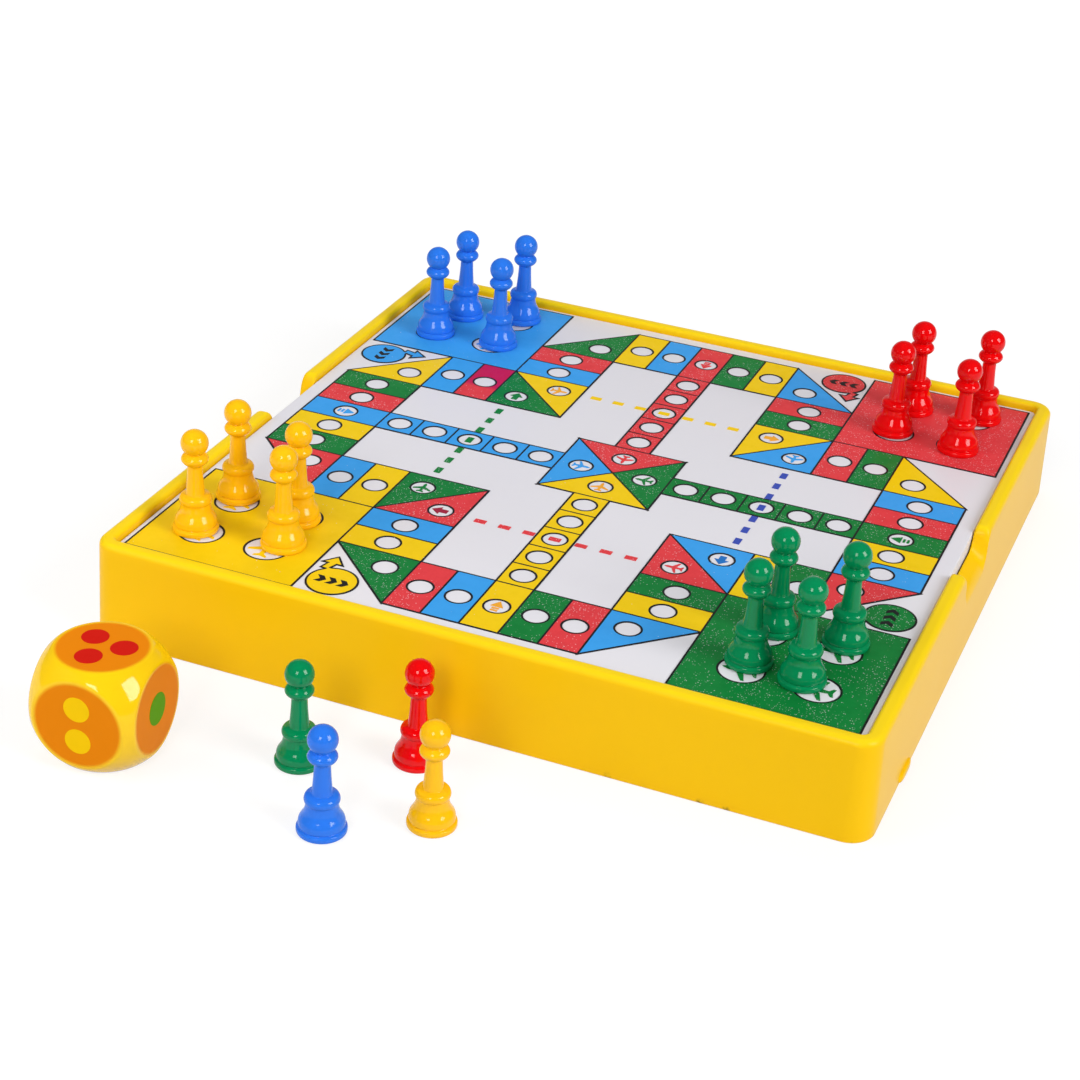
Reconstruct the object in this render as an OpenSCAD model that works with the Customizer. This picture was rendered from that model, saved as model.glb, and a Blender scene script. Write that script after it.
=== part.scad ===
// A boxed ludo set: a shallow tray, a lift-out panel printed with the track, pawns and a die.
// Millimetres. +Z is up and +Y points away from the player.
// The origin is the middle of the tray's underside, on the table.

/* [Tray] */
// Outside length of each side of the tray
tray_size = 224; // [215:1:260]
// Height of the tray, from the table to the top of its rim
tray_h = 30; // [26:0.2:40]
// Thickness of the tray's walls
wall_t = 4.6; // [3.6:0.1:5]
// How far the walls stand out beyond the rim where they meet the table
flare = 0.8; // [0:0.1:1.6]
// Thickness of the tray's floor
floor_t = 2; // [1:0.25:4]
// Outside radius of the tray's upright corners
corner_r = 6.5; // [6:0.5:12]
// Radius on the outer edge of the rim
rim_outer_r = 2; // [0.5:0.1:2.4]
// Radius on the inner edge of the rim
rim_inner_r = 1.2; // [0.2:0.1:1.4]
// Height of the rim above the panel
rim_rise = 2.2; // [1:0.2:6]
// Thickness of the ribs and dividers that carry the panel
rib_t = 2; // [1:0.25:4]
// How far the ribs stand in from the walls
rib_depth = 4; // [2:0.5:10]
// Distance from the inside of a corner to the nearest rib
rib_from_corner = 34; // [15:1:50]
// Distance between the two dividers
divider_gap = 76; // [50:1:110]

/* [Finger notches] */
// Depth of each finger notch below the top of the rim, at the wall's inner face
notch_depth = 6.4; // [4:0.2:9]
// How much deeper each finger notch is at the wall's outer face
notch_fall = 4; // [0:0.2:6]
// Width of each finger notch, between the steepest parts of its ends
notch_w = 28; // [22:0.5:36]
// Radius of the lower corners of each finger notch
notch_r = 4.8; // [2:0.1:8]
// Radius where each finger notch runs out into the rim
notch_shoulder_r = 3; // [1:0.1:6]

/* [Nub] */
// Length of the nub low on the right wall
nub_l = 12; // [6:0.5:20]
// Height of the nub
nub_h = 3; // [1.5:0.25:6]
// How far the nub stands out of the wall
nub_proud = 0.8; // [0.4:0.1:2]
// Distance from the front of the tray to the middle of the nub
nub_from_front = 36; // [25:0.5:80]

/* [Panel] */
// Thickness of the panel
panel_t = 2; // [1:0.25:3]
// Depth of the panel's turned-down edge, from the panel's top
lip_h = 5.4; // [4:0.2:8]
// Thickness of the turned-down edge
lip_t = 1.6; // [1:0.1:3]
// Gap all round between the panel and the tray's walls
panel_gap = 0.4; // [0.2:0.05:1]

/* [Print] */
// Thickness of the printed layers
print_t = 0.15; // [0.05:0.05:0.3]
// Bare margin between the edge of the panel and the yards
print_margin = 1.8; // [1.6:0.1:8]
// Distance from the outer line of the yards in to the outer line of the track
track_margin = 3.35; // [1.5:0.05:8]
// Width of one cell of the track
cell_w = 11.3; // [10:0.1:12.5]
// Half the width of the square in the middle
middle_half = 17.4; // [15:0.1:19]
// Thickness of the black lines
line_t = 0.6; // [0.3:0.1:0.9]
// Diameter of the ring in each cell
spot_d = 8; // [6:0.1:8.4]
// Diameter of the rings in the yards
yard_spot_d = 13.2; // [10:0.1:14]
// Distance between the rings in a yard
yard_pitch = 20.5; // [17:0.1:26]
// Diameter of the start bubbles
bubble_d = 14.8; // [10:0.1:15.5]
// Length of one dash of the flight lines
dash_l = 3.5; // [2:0.1:5]
// Width of one dash of the flight lines
dash_w = 2; // [1:0.1:3]

/* [Pawns] */
// Height of a pawn
pawn_h = 30.8; // [26:0.2:40]
// Diameter of a pawn's base
pawn_base_d = 13; // [10:0.1:14]
// Height of a pawn's base
pawn_base_h = 2.1; // [1.6:0.1:4]
// Height of the bell above the base
bell_h = 6.5; // [4:0.1:7.5]
// Diameter of the waist above the bell
waist_d = 8.3; // [6:0.1:8.6]
// Diameter of the ring above the waist
pawn_ring_d = 9.2; // [8.7:0.1:10]
// Height of the ring above the waist
pawn_ring_h = 2.6; // [2:0.1:4]
// Diameter of the neck at its foot
neck_low_d = 5.4; // [4.6:0.1:6]
// Diameter of the neck below the collar
neck_d = 4.2; // [3:0.1:4.6]
// Diameter of the collar
collar_d = 7.7; // [6:0.1:9]
// Height of the collar
collar_h = 3.6; // [2.5:0.1:5]
// Diameter of the head
head_d = 7.8; // [7:0.1:9]

/* [Die] */
// Distance between two opposite flats of the die
die_size = 30; // [24:0.5:34]
// Diameter of the round body that the flats are cut from
die_round_d = 39.4; // [37:0.2:42]
// Diameter of the printed disc on each flat
die_disc_d = 24; // [18:0.2:24.4]
// Diameter of a pip
pip_d = 7.2; // [5:0.1:7.4]
// Diameter of the one large pip
large_pip_d = 8.9; // [7:0.1:14]
// Distance of the three pips from the middle of their disc
pip_r = 5.5; // [5:0.1:6]
// Turn of the die on the table, in degrees
die_turn = 4; // [0:0.5:45]
// Distance of the die from the middle of the tray, to the right
die_right = -80; // [-110:0.1:-65]
// Distance from the tray's front face to the middle of the die
die_front = 45.7; // [25:0.1:90]

/* [Hidden] */
$fn = 64;
arc_steps = 8;

// The panel lies below the rim, with its turned-down edge on the ribs and dividers
panel_top = tray_h - rim_rise;
seat = panel_top - lip_h;
print_top = panel_top + print_t;
inner_half = tray_size / 2 - wall_t;
panel_half = inner_half - panel_gap;
panel_corner_r = max(0.5, corner_r - wall_t - panel_gap);
lip_corner_r = max(0.3, panel_corner_r - lip_t);

// A rim radius is never more than its wall can hold
rim_out = min(rim_outer_r, 0.6 * wall_t);
rim_in = min(rim_inner_r, 0.3 * wall_t);

// Floor, ribs and dividers run into the walls, but not through their outer faces
foot_half = tray_size / 2 + flare;
inner_r = max(0.2, corner_r - wall_t);
embed = wall_t / 2;

// Lines of the track, as distances from the middle of the print
yard_out = panel_half - print_margin;
cell_l = (yard_out - track_margin - 4.5 * cell_w) / 2;
arm = 2.5 * cell_w;
yard_in = arm + cell_l;
row_in = yard_in + 2 * cell_w;
row_out = row_in + cell_l;
home_l = (row_in - middle_half) / 5;
yard_mid = (yard_out + yard_in) / 2;
dash_pitch = 2 * cell_w / 3;
dash_start = cell_w / 2 + line_t + dash_l / 2;
dash_row = row_in - 2.5 * home_l;
icon_d = spot_d - 2 * line_t;
yard_icon_d = yard_spot_d - 2 * line_t;

// The track's colours in the order in which its cells repeat them
RED = 0;
BLUE = 1;
YELLOW = 2;
GREEN = 3;
hues = ["red", "blue", "yellow", "green"];
shades = ["#de3c41", "#3c9beb", "#f0c819", "#238746"];
pawn_shades = ["#e10a14", "#286ef0", "#ffbe19", "#0a8c5a"];
quarter_cells = 13;
home_cells = 5;
own_cell = 6;
yard_hue = YELLOW;
quarters = [0:3];

// How far each pawn stands off the middle of its ring, in ring diameters, four to a yard: front left,
// back left, front right, back right, with the yards in the order yellow, green, red, blue
stand_off = [
    [[-0.18, 0.08], [-0.09, 0.23], [0.24, 0.3], [0, -0.11]],
    [[0.04, 0.35], [0.14, 0.28], [-0.36, 0.15], [0.04, 0.37]],
    [[-0.05, 0.07], [0.11, -0.07], [0.05, -0.18], [0.17, 0.23]],
    [[0.02, -0.03], [0.21, -0.17], [0.15, 0.09], [0.08, 0.3]]
];
yard_side = [[-1, -1], [1, -1], [1, 1], [-1, 1]];
ring_side = [[-1, -1], [-1, 1], [1, -1], [1, 1]];

// Where the loose pawns stand, in base diameters: right of the middle, and out from the tray's front face
loose = [[GREEN, -2.46, 2.31], [BLUE, -1.02, 4.16], [RED, -0.38, 1.21], [YELLOW, 0.79, 3.05]];

yard_pawn_names = [for (y = quarters, i = [0:3]) str("pawn_", hues[(yard_hue + y) % 4], "_", i + 1)];
loose_names = [for (p = loose) str("pawn_", hues[p[0]], "_5")];
print_names = [for (h = hues) str("print_", h)];

// Points of an arc from angle a0 to angle a1
function arc(centre, r, a0, a1, steps = arc_steps) = [
    for (i = [0:steps]) centre + r * [cos(a0 + (a1 - a0) * i / steps), sin(a0 + (a1 - a0) * i / steps)]
];

// Outline of a square with round corners
function round_square(half, r) = [
    for (k = quarters, p = arc([0, 0], r, 90 * k, 90 * k + 90))
        p + (half - r) * sqrt(2) * [cos(90 * k + 45), sin(90 * k + 45)]
];

function unit(v) = v / norm(v);
function left_of(v) = [-v[1], v[0]];

// An outline with every edge moved inwards by g, or outwards where g is negative
function inset(outline, g) = let (n = len(outline)) [
    for (i = [0:n - 1]) let (
        here = outline[i],
        before = left_of(unit(here - outline[(i + n - 1) % n])),
        after = left_of(unit(outline[(i + 1) % n] - here))
    ) here + g * (before + after) / (1 + before * after)
];

function box_outline(x0, y0, x1, y1) = [[x0, y0], [x1, y0], [x1, y1], [x0, y1]];

// Middle of the circle that touches all three sides of a triangle, or of a rectangle
function spot_of(p) = len(p) == 4 ? (p[0] + p[2]) / 2 : let (
    a = norm(p[1] - p[2]),
    b = norm(p[2] - p[0]),
    c = norm(p[0] - p[1])
) (a * p[0] + b * p[1] + c * p[2]) / (a + b + c);

// Outlines of the front quarter of the track, in the order of play
function track_cell(i) =
    i == 0 ? [[-yard_in, -yard_in], [-arm, -yard_in], [-arm, -arm]] :
    i < 3 ? box_outline(-yard_in, -yard_in - i * cell_w, -arm, -yard_in - (i - 1) * cell_w) :
    i == 3 ? [[-yard_in, -row_in], [-arm, -row_out], [-arm, -row_in]] :
    i < 9 ? box_outline(-arm + (i - 4) * cell_w, -row_out, -arm + (i - 3) * cell_w, -row_in) :
    i == 9 ? [[arm, -row_out], [yard_in, -row_in], [arm, -row_in]] :
    i < 12 ? box_outline(arm, -row_in + (i - 10) * cell_w, yard_in, -row_in + (i - 9) * cell_w) :
    [[arm, -yard_in], [yard_in, -yard_in], [arm, -arm]];

function home_cell(j) = box_outline(
    -cell_w / 2, -row_in + j * home_l, cell_w / 2, -row_in + (j + 1) * home_l
);
middle_cell = [[-middle_half, -middle_half], [middle_half, -middle_half], [0, 0]];
yard_cell = box_outline(-yard_out, -yard_out, -yard_in, -yard_in);

track_cells = [for (i = [0:quarter_cells - 1]) track_cell(i)];
home_column = [for (j = [0:home_cells - 1]) home_cell(j)];
yard_spots = [for (s = ring_side) -[yard_mid, yard_mid] + s * yard_pitch / 2];

// The front start bubble lies between the yard, the first corner of the track and the margin
bubble_at = [-yard_in + bubble_d / 2 + 2 * line_t, -yard_out + bubble_d / 2 + line_t / 2];
bolt_w = bubble_d * 0.18;
bolt_foot = bubble_at + bubble_d * [-0.3, 0.15];
bolt = [
    for (p = [
        [-0.5, 0], [0.5, 0], [0.85, 1.5], [0.25, 1.6], [0.55, 2.5], [1.25, 2.5], [0.1, 4],
        [-1.05, 2.5], [-0.4, 2.5], [-0.7, 1.35], [-0.1, 1.25]
    ]) bolt_foot + bolt_w * p
];
chevron_w = bubble_d * 0.13;
chevron = [[-1, 0.9], [0, 0.9], [0.7, 0], [0, -0.9], [-1, -0.9], [-0.3, 0]];
chevron_x = [-1.6, 0.15, 1.9];

// A plane seen from above, nose along +Y, in a circle of diameter 2
plane_mark = [
    [0, 0.85], [0.13, 0.6], [0.13, 0.2], [0.8, -0.2], [0.8, -0.36], [0.13, -0.14], [0.1, -0.5],
    [0.32, -0.66], [0.32, -0.78], [0, -0.7], [-0.32, -0.78], [-0.32, -0.66], [-0.1, -0.5],
    [-0.13, -0.14], [-0.8, -0.36], [-0.8, -0.2], [-0.13, 0.2], [-0.13, 0.6]
];

// An arrow along +Y, in a circle of diameter 2
arrow_mark = [
    [0, 0.8], [0.62, 0.05], [0.28, 0.05], [0.28, -0.62], [-0.28, -0.62], [-0.28, 0.05], [-0.62, 0.05]
];

// A dart along +Y whose tail is two bars, in a circle of diameter 2
dart_mark = [
    [[0, 0.85], [0.55, -0.05], [-0.55, -0.05]],
    box_outline(-0.3, -0.4, 0.3, -0.2),
    box_outline(-0.3, -0.75, 0.3, -0.55)
];

// Points of a swelling between two radii, widest halfway up; fullness below 1 squares it off
function swell(r0, z0, r1, z1, widest, fullness, steps = arc_steps) = [
    for (i = [1:steps - 1]) let (t = i / steps)
        [r0 + (r1 - r0) * t + (widest - (r0 + r1) / 2) * pow(sin(180 * t), fullness), z0 + (z1 - z0) * t]
];

// Half outline of a pawn, radius against height
pawn_edge_r = 0.5;
groove = 0.4;
bell_z = pawn_base_h + bell_h;
neck_z = bell_z + pawn_ring_h;
head_r = head_d / 2;
head_z = pawn_h - head_r;
head_from = -52;
head_foot = [head_r * cos(head_from), head_z + head_r * sin(head_from)];
collar_z = head_foot[1] - collar_h;
base_r = pawn_base_d / 2;
bell_r = base_r - 1.25 * groove;
function bell_fall(t) = 1 / (1 + pow(t / 0.48, 4));
bell = [
    for (i = [0:12]) let (t = i / 12, share = (bell_fall(t) - bell_fall(1)) / (1 - bell_fall(1)))
        [waist_d / 2 + (bell_r - waist_d / 2) * share, pawn_base_h + bell_h * t]
];
shelf = [pawn_ring_d / 2 - 0.25 * pawn_ring_h, neck_z - 0.1 * pawn_ring_h];
pawn_half = concat(
    [[0, 0], [base_r - pawn_edge_r, 0]],
    arc([base_r - pawn_edge_r, pawn_edge_r], pawn_edge_r, -60, 0, 2),
    arc([base_r - pawn_edge_r, pawn_base_h - groove - pawn_edge_r], pawn_edge_r, 0, 60, 2),
    [[base_r - 2 * groove, pawn_base_h - groove / 2]],
    bell,
    swell(waist_d / 2, bell_z, shelf[0], shelf[1], pawn_ring_d / 2, 0.6),
    [shelf, [neck_low_d / 2, neck_z], [neck_d / 2, collar_z]],
    swell(neck_d / 2, collar_z, head_foot[0], head_foot[1], collar_d / 2, 0.7),
    arc([0, head_z], head_r, head_from, 90, 2 * arc_steps)
);

// Directions of the die's flats, each with its pips: the turn of the face and its count
die_flats = [
    [[0, 0, 0], 3], [[180, 0, 0], 4], [[90, 0, 0], 2], [[-90, 0, 0], 5], [[0, 90, 0], 1], [[0, -90, 0], 6]
];
pip_step = pip_d * 0.66;
function pips(n) =
    n == 1 ? [[0, 0]] :
    n == 2 ? [[0, -pip_step], [0, pip_step]] :
    n == 3 ? [for (a = [0:2]) pip_r * [cos(120 * a + 17), sin(120 * a + 17)]] :
    n == 4 ? [for (x = [-1, 1], y = [-1, 1]) pip_step * [x, y]] :
    n == 5 ? concat([[0, 0]], [for (a = [0:3]) 1.6 * pip_step * [cos(90 * a + 45), sin(90 * a + 45)]]) :
    [for (a = [0:5]) 1.7 * pip_step * [cos(60 * a), sin(60 * a)]];
function pip_size(n) = n == 1 ? large_pip_d : n > 4 ? pip_d * 0.8 : pip_d;

// Wall of the tray in section, as distance from the axis of its corner against height
module wall_section() {
    polygon(concat(
        [[inner_r, 0], [corner_r + flare, 0]],
        arc([corner_r - rim_out, tray_h - rim_out], rim_out, 0, 90),
        arc([inner_r + rim_in, tray_h - rim_in], rim_in, 90, 180)
    ));
}

// Four straight walls and four round corners
module walls() {
    straight = tray_size - 2 * corner_r;
    for (k = quarters) rotate(90 * k) {
        translate([straight / 2, straight / 2, 0]) {
            rotate_extrude(angle = 90) wall_section();
            rotate([90, 0, 0]) linear_extrude(straight) wall_section();
        }
    }
}

// Two prisms through the side walls with the outline of a finger notch, drawn from the top of the rim
module notch_cut() {
    clear = 1;
    slope = notch_fall / wall_t;
    length = wall_t + flare + 2 * clear;
    depth = notch_depth - slope * clear;
    steep = acos(max(0, 1 - depth / (notch_r + notch_shoulder_r)));
    foot = [notch_w / 2 - notch_r * sin(steep), notch_r - depth];
    shoulder = [notch_w / 2 + notch_shoulder_r * sin(steep), -notch_shoulder_r];
    right = concat(
        arc(foot, notch_r, -90, steep - 90),
        arc(shoulder, notch_shoulder_r, 90 + steep, 90),
        [[shoulder[0], clear]]
    );
    left = [for (i = [len(right) - 1:-1:0]) [-right[i][0], right[i][1]]];
    for (turn = [0, 180]) rotate(turn) translate([inner_half - clear, 0, tray_h]) rotate([90, 0, 90])
        linear_extrude(length, scale = [1, 1 + slope * length / depth], slices = 1, $fn = 8)
            polygon(concat(right, left));
}

// Ribs along the walls and two dividers, all level with the foot of the panel's edge
module supports() {
    rib_h = seat - floor_t / 2;
    rib_l = rib_depth + embed;
    reach = inner_half + embed;
    for (k = quarters, side = [-1, 1]) rotate(90 * k)
        translate([side * (inner_half - rib_from_corner) - rib_t / 2, reach - rib_l, floor_t / 2])
            cube([rib_t, rib_l, rib_h]);
    for (side = [-1, 1])
        translate([-reach, side * divider_gap / 2 - rib_t / 2, floor_t / 2])
            cube([2 * reach, rib_t, rib_h]);
}

// Low bump on the right wall, cut from an upright cylinder
module nub() {
    bend = (pow(nub_l / 2, 2) + pow(nub_proud, 2)) / (2 * nub_proud);
    out = foot_half + nub_proud;
    intersection() {
        translate([out - bend, nub_from_front - tray_size / 2, 0]) cylinder(r = bend, h = nub_h);
        translate([out - nub_proud - wall_t / 2, nub_from_front - tray_size / 2 - nub_l, 0])
            cube([wall_t, 2 * nub_l, nub_h]);
    }
}

module tray() {
    color("#f6c01c") difference() {
        union() {
            walls();
            linear_extrude(floor_t) polygon(round_square(inner_half + embed, inner_r + embed));
            supports();
            nub();
        }
        notch_cut();
    }
}

// A plate with an edge that is turned down all round
module panel() {
    color("#f2f0f4") translate([0, 0, seat]) difference() {
        linear_extrude(lip_h) polygon(round_square(panel_half, panel_corner_r));
        translate([0, 0, -1]) linear_extrude(lip_h - panel_t + 1)
            polygon(round_square(panel_half - lip_t, lip_corner_r));
    }
}

module on_print() {
    translate([0, 0, panel_top]) linear_extrude(print_t) children();
}

// A cell without its outline, with a round hole for the ring
module cell(outline, hole_d = spot_d) {
    difference() {
        polygon(inset(outline, line_t / 2));
        translate(spot_of(outline)) circle(d = hole_d);
    }
}

module mark(outline, at, d, turn = 0) {
    translate(at) rotate(turn) scale(d / 2) polygon(outline);
}

module start_bubble() {
    difference() {
        union() {
            translate(bubble_at) circle(d = bubble_d - 2 * line_t);
            polygon(inset(bolt, line_t / 2));
        }
        chevrons();
    }
}

module chevrons() {
    for (x = chevron_x) translate(bubble_at + [x * chevron_w, 0]) scale(chevron_w) polygon(chevron);
}

// Everything that one quarter prints in its own yard's colour, apart from the track
module yard_set() {
    difference() {
        polygon(inset(yard_cell, line_t / 2));
        for (s = yard_spots) translate(s) circle(d = yard_spot_d);
    }
    for (s = yard_spots) mark(plane_mark, s, yard_icon_d);
    for (j = [0:home_cells - 1]) cell(home_column[j]);
    cell(middle_cell);
    mark(plane_mark, spot_of(middle_cell), icon_d);
    start_bubble();
}

// The cells, marks and flight line of one quarter's track that have one colour
module track_set(hue, quarter) {
    for (i = [0:quarter_cells - 1]) if ((i + quarter) % 4 == hue) {
        cell(track_cells[i]);
        if (i == 0) mark(arrow_mark, spot_of(track_cells[i]), icon_d, 90);
        if (i == own_cell) for (p = dart_mark) mark(p, spot_of(track_cells[i]), icon_d);
        if (i == quarter_cells - 1) mark(plane_mark, spot_of(track_cells[i]), icon_d, 90);
    }
    dashes = concat([0], [for (s = [-1, 1], j = [0:2]) s * (dash_start + j * dash_pitch)]);
    if (quarter == hue) for (x = dashes)
        translate([x, -dash_row]) square([dash_l, dash_w], center = true);
}

module print_colour(hue) {
    color(shades[hue]) on_print() for (q = quarters) rotate(90 * q) {
        track_set(hue, q);
        if ((yard_hue + q) % 4 == hue) yard_set();
    }
}

// Everything inside the outlines of one quarter, which the black lines leave free
module quarter_inside() {
    for (p = concat(track_cells, home_column, [middle_cell, yard_cell])) polygon(inset(p, line_t / 2));
    translate(bubble_at) circle(d = bubble_d - 2 * line_t);
    polygon(inset(bolt, line_t / 2));
}

module quarter_outside() {
    g = -line_t / 2;
    polygon(inset(box_outline(-yard_in, -yard_in, -arm, -arm), g));
    polygon(inset(box_outline(-yard_in, -row_in, -arm, -yard_in), g));
    polygon(inset(box_outline(arm, -row_in, yard_in, -yard_in), g));
    polygon(inset(box_outline(-arm, -row_out, arm, -row_in), g));
    polygon(inset(track_cells[3], g));
    polygon(inset(track_cells[9], g));
    polygon(inset(box_outline(-cell_w / 2, -row_in, cell_w / 2, -middle_half), g));
    polygon(inset(middle_cell, g));
    polygon(inset(yard_cell, g));
    translate(bubble_at) circle(d = bubble_d);
    polygon(inset(bolt, g));
}

module ring(at, d) {
    translate(at) difference() {
        circle(d = d);
        circle(d = d - 2 * line_t);
    }
}

module print_outlines() {
    color("#202024") on_print() {
        difference() {
            for (q = quarters) rotate(90 * q) quarter_outside();
            for (q = quarters) rotate(90 * q) quarter_inside();
        }
        for (q = quarters) rotate(90 * q) {
            for (p = concat(track_cells, home_column, [middle_cell])) ring(spot_of(p), spot_d);
            for (s = yard_spots) ring(s, yard_spot_d);
            chevrons();
        }
    }
}

module pawn(hue) {
    color(pawn_shades[hue]) rotate_extrude() polygon(pawn_half);
}

// A pawn on a ring of its yard
module yard_pawn(yard, i) {
    spot = yard_mid * yard_side[yard] + ring_side[i] * yard_pitch / 2 + yard_spot_d * stand_off[yard][i];
    translate([spot[0], spot[1], print_top]) pawn((yard_hue + yard) % 4);
}

module loose_pawn(p) {
    translate([p[1] * pawn_base_d, -tray_size / 2 - p[2] * pawn_base_d, 0]) pawn(p[0]);
}

module on_die() {
    translate([die_right, -tray_size / 2 - die_front, die_size / 2]) rotate(die_turn) children();
}

// Thin layer on each flat of the die
module on_flats(counts) {
    for (f = die_flats) if (len(search(f[1], counts)) > 0) rotate(f[0])
        translate([0, 0, die_size / 2 - print_t]) linear_extrude(print_t) {
            $pip_count = f[1];
            children();
        }
}

module pip_set(n) {
    for (p = pips(n)) translate(p) circle(d = pip_size(n));
}

module die() {
    flat = die_size - 2 * print_t;
    color("#f5d71e") on_die() intersection() {
        sphere(d = die_round_d);
        cube(flat, center = true);
    }
}

module die_discs() {
    color("#e6871e") on_die() on_flats([1, 2, 3, 4, 5, 6]) difference() {
        circle(d = die_disc_d);
        pip_set($pip_count);
    }
}

module die_pips(shade, counts) {
    color(shade) on_die() on_flats(counts) pip_set($pip_count);
}

tray();
panel();
for (h = [0:3]) print_colour(h);
print_outlines();
for (i = [0:15]) yard_pawn(floor(i / 4), i % 4);
for (i = [0:3]) loose_pawn(loose[i]);
die();
die_discs();
die_pips("#c8261e", [3, 4]);  // die_pips_red
die_pips("#f0c81e", [2, 5]);  // die_pips_yellow
die_pips("#5a910a", [1, 6]);  // die_pips_green
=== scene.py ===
import math

import bpy
import numpy as np
from mathutils import Matrix, Vector


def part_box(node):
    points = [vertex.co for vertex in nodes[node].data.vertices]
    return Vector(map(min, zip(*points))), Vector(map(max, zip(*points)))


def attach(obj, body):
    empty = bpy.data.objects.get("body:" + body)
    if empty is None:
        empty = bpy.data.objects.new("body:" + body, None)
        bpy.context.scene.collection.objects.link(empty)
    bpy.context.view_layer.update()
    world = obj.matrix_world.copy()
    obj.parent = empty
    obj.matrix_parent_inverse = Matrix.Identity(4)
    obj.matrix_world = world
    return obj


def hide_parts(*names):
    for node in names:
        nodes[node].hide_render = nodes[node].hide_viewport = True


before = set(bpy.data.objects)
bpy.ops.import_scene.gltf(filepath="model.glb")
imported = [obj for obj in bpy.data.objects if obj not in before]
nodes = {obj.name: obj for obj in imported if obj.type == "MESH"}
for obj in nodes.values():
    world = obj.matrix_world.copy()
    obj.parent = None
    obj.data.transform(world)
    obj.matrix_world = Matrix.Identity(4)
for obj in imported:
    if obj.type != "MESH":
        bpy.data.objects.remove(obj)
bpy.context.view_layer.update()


def linear(red, green, blue):  # display values 0-255 to the linear colour that a shader takes
    v = np.array([red, green, blue]) / 255
    v = np.where(v <= 0.04045, v / 12.92, ((v + 0.055) / 1.055) ** 2.4)
    return (*v.tolist(), 1.0)


# meshes: every shape is a grid of points, row after row, with quads between neighbours
def gridFaces(rows, columns, wrap=True):
    i = np.arange(rows - 1)[:, None]
    j = np.arange(columns if wrap else columns - 1)[None, :]
    right = (j + 1) % columns  # wrap joins the last column to the first
    quads = [i * columns + j, (i + 1) * columns + j, (i + 1) * columns + right, i * columns + right]
    return np.stack(np.broadcast_arrays(*quads), -1).reshape(-1, 4)


def arcPoints(centre, radius, fromAngle, toAngle, steps):
    # a circle's arc in the plane of distance and height: centre plus radius times (cos, sin)
    a = np.radians(np.linspace(fromAngle, toAngle, steps + 1))
    return np.stack([centre[0] + radius * np.cos(a), centre[1] + radius * np.sin(a)], 1)


def roundedPath(halfX, halfY, radius, along, turn):
    # a rectangle with round corners, as places on the unit square, the outward normal at each and the number
    # of the side, -1 on a corner: the normal keeps still along a side, where 'along' runs from -1 to 1, and
    # turns a quarter round a corner
    unit, normal, side = [], [], []
    for k in range(4):
        angle = k * math.pi / 2
        out = np.array([math.cos(angle), math.sin(angle)]).round()
        ahead = np.array([-out[1], out[0]])
        unit.append(out + along[:, None] * ahead)
        normal.append(np.broadcast_to(out, (len(along), 2)))
        side.append(np.full(len(along), k))
        a = angle + np.linspace(0, math.pi / 2, turn + 1)[1:-1]
        unit.append(np.broadcast_to(out + ahead, (turn - 1, 2)))
        normal.append(np.stack([np.cos(a), np.sin(a)], 1))
        side.append(np.full(turn - 1, -1))
    return {"unit": np.concatenate(unit), "normal": np.concatenate(normal), "side": np.concatenate(side),
            "inner": np.array([halfX - radius, halfY - radius])}


def sweptShell(path, distance, height, centre=(0, 0), inward=False, least=0.0003):
    # a profile carried round a path: each point is the corner axis plus the profile's distance along the
    # normal, at the profile's height; a distance below 'least' draws the axes in, so a corner never closes up;
    # flat caps at both ends
    columns = len(path["unit"])
    distance = np.broadcast_to(distance, (len(distance), columns))
    height = np.broadcast_to(height, distance.shape)
    inner = path["inner"] - np.maximum(least - distance, 0)[..., None]
    flat = path["unit"] * inner + np.maximum(distance, least)[..., None] * path["normal"] + np.array(centre)
    points = np.concatenate([flat, height[..., None]], -1)
    rows = len(distance)
    faces = gridFaces(rows, columns).tolist()
    faces += [list(range(columns)), list(range((rows - 1) * columns, rows * columns))[::-1]]
    if not inward:  # a profile that runs up its outer face
        faces = [f[::-1] for f in faces]
    return points.reshape(-1, 3), faces


def turnedShell(profile, centre, steps):
    # a profile of radius and height turned about an upright axis, with one point at each end of the axis
    a = np.linspace(0, 2 * math.pi, steps, endpoint=False)
    ring = profile[1:-1]
    x = centre[0] + ring[:, :1] * np.cos(a)
    y = centre[1] + ring[:, :1] * np.sin(a)
    z = np.broadcast_to(centre[2] + ring[:, 1:], x.shape)
    points = np.stack([x, y, z], -1).reshape(-1, 3)
    ends = np.array([[*centre[:2], centre[2] + profile[0, 1]], [*centre[:2], centre[2] + profile[-1, 1]]])
    faces = gridFaces(len(ring), steps)[:, ::-1].tolist()
    n, last = len(points), (len(ring) - 1) * steps
    j, nextJ = np.arange(steps), (np.arange(steps) + 1) % steps
    faces += np.stack([np.full(steps, n), nextJ, j], 1).tolist()
    faces += np.stack([np.full(steps, n + 1), last + j, last + nextJ], 1).tolist()
    return np.concatenate([points, ends]), faces


def addPiece(name, points, faces, material, body, stands, sharpAngle=40):
    mesh = bpy.data.meshes.new(name)
    mesh.from_pydata(points.tolist(), [], faces)
    mesh.shade_smooth()
    mesh.set_sharp_from_angle(angle=math.radians(sharpAngle))
    mesh.materials.append(material)
    piece = bpy.data.objects.new(name, mesh)
    bpy.context.scene.collection.objects.link(piece)
    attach(piece, body)
    if stands:  # the CAD nodes that it stands for
        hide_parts(*stands)


def dress(node, material):  # a CAD node that keeps its shape takes a better material
    mesh = nodes[node].data
    mesh.materials.clear()
    mesh.materials.append(material)


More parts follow.
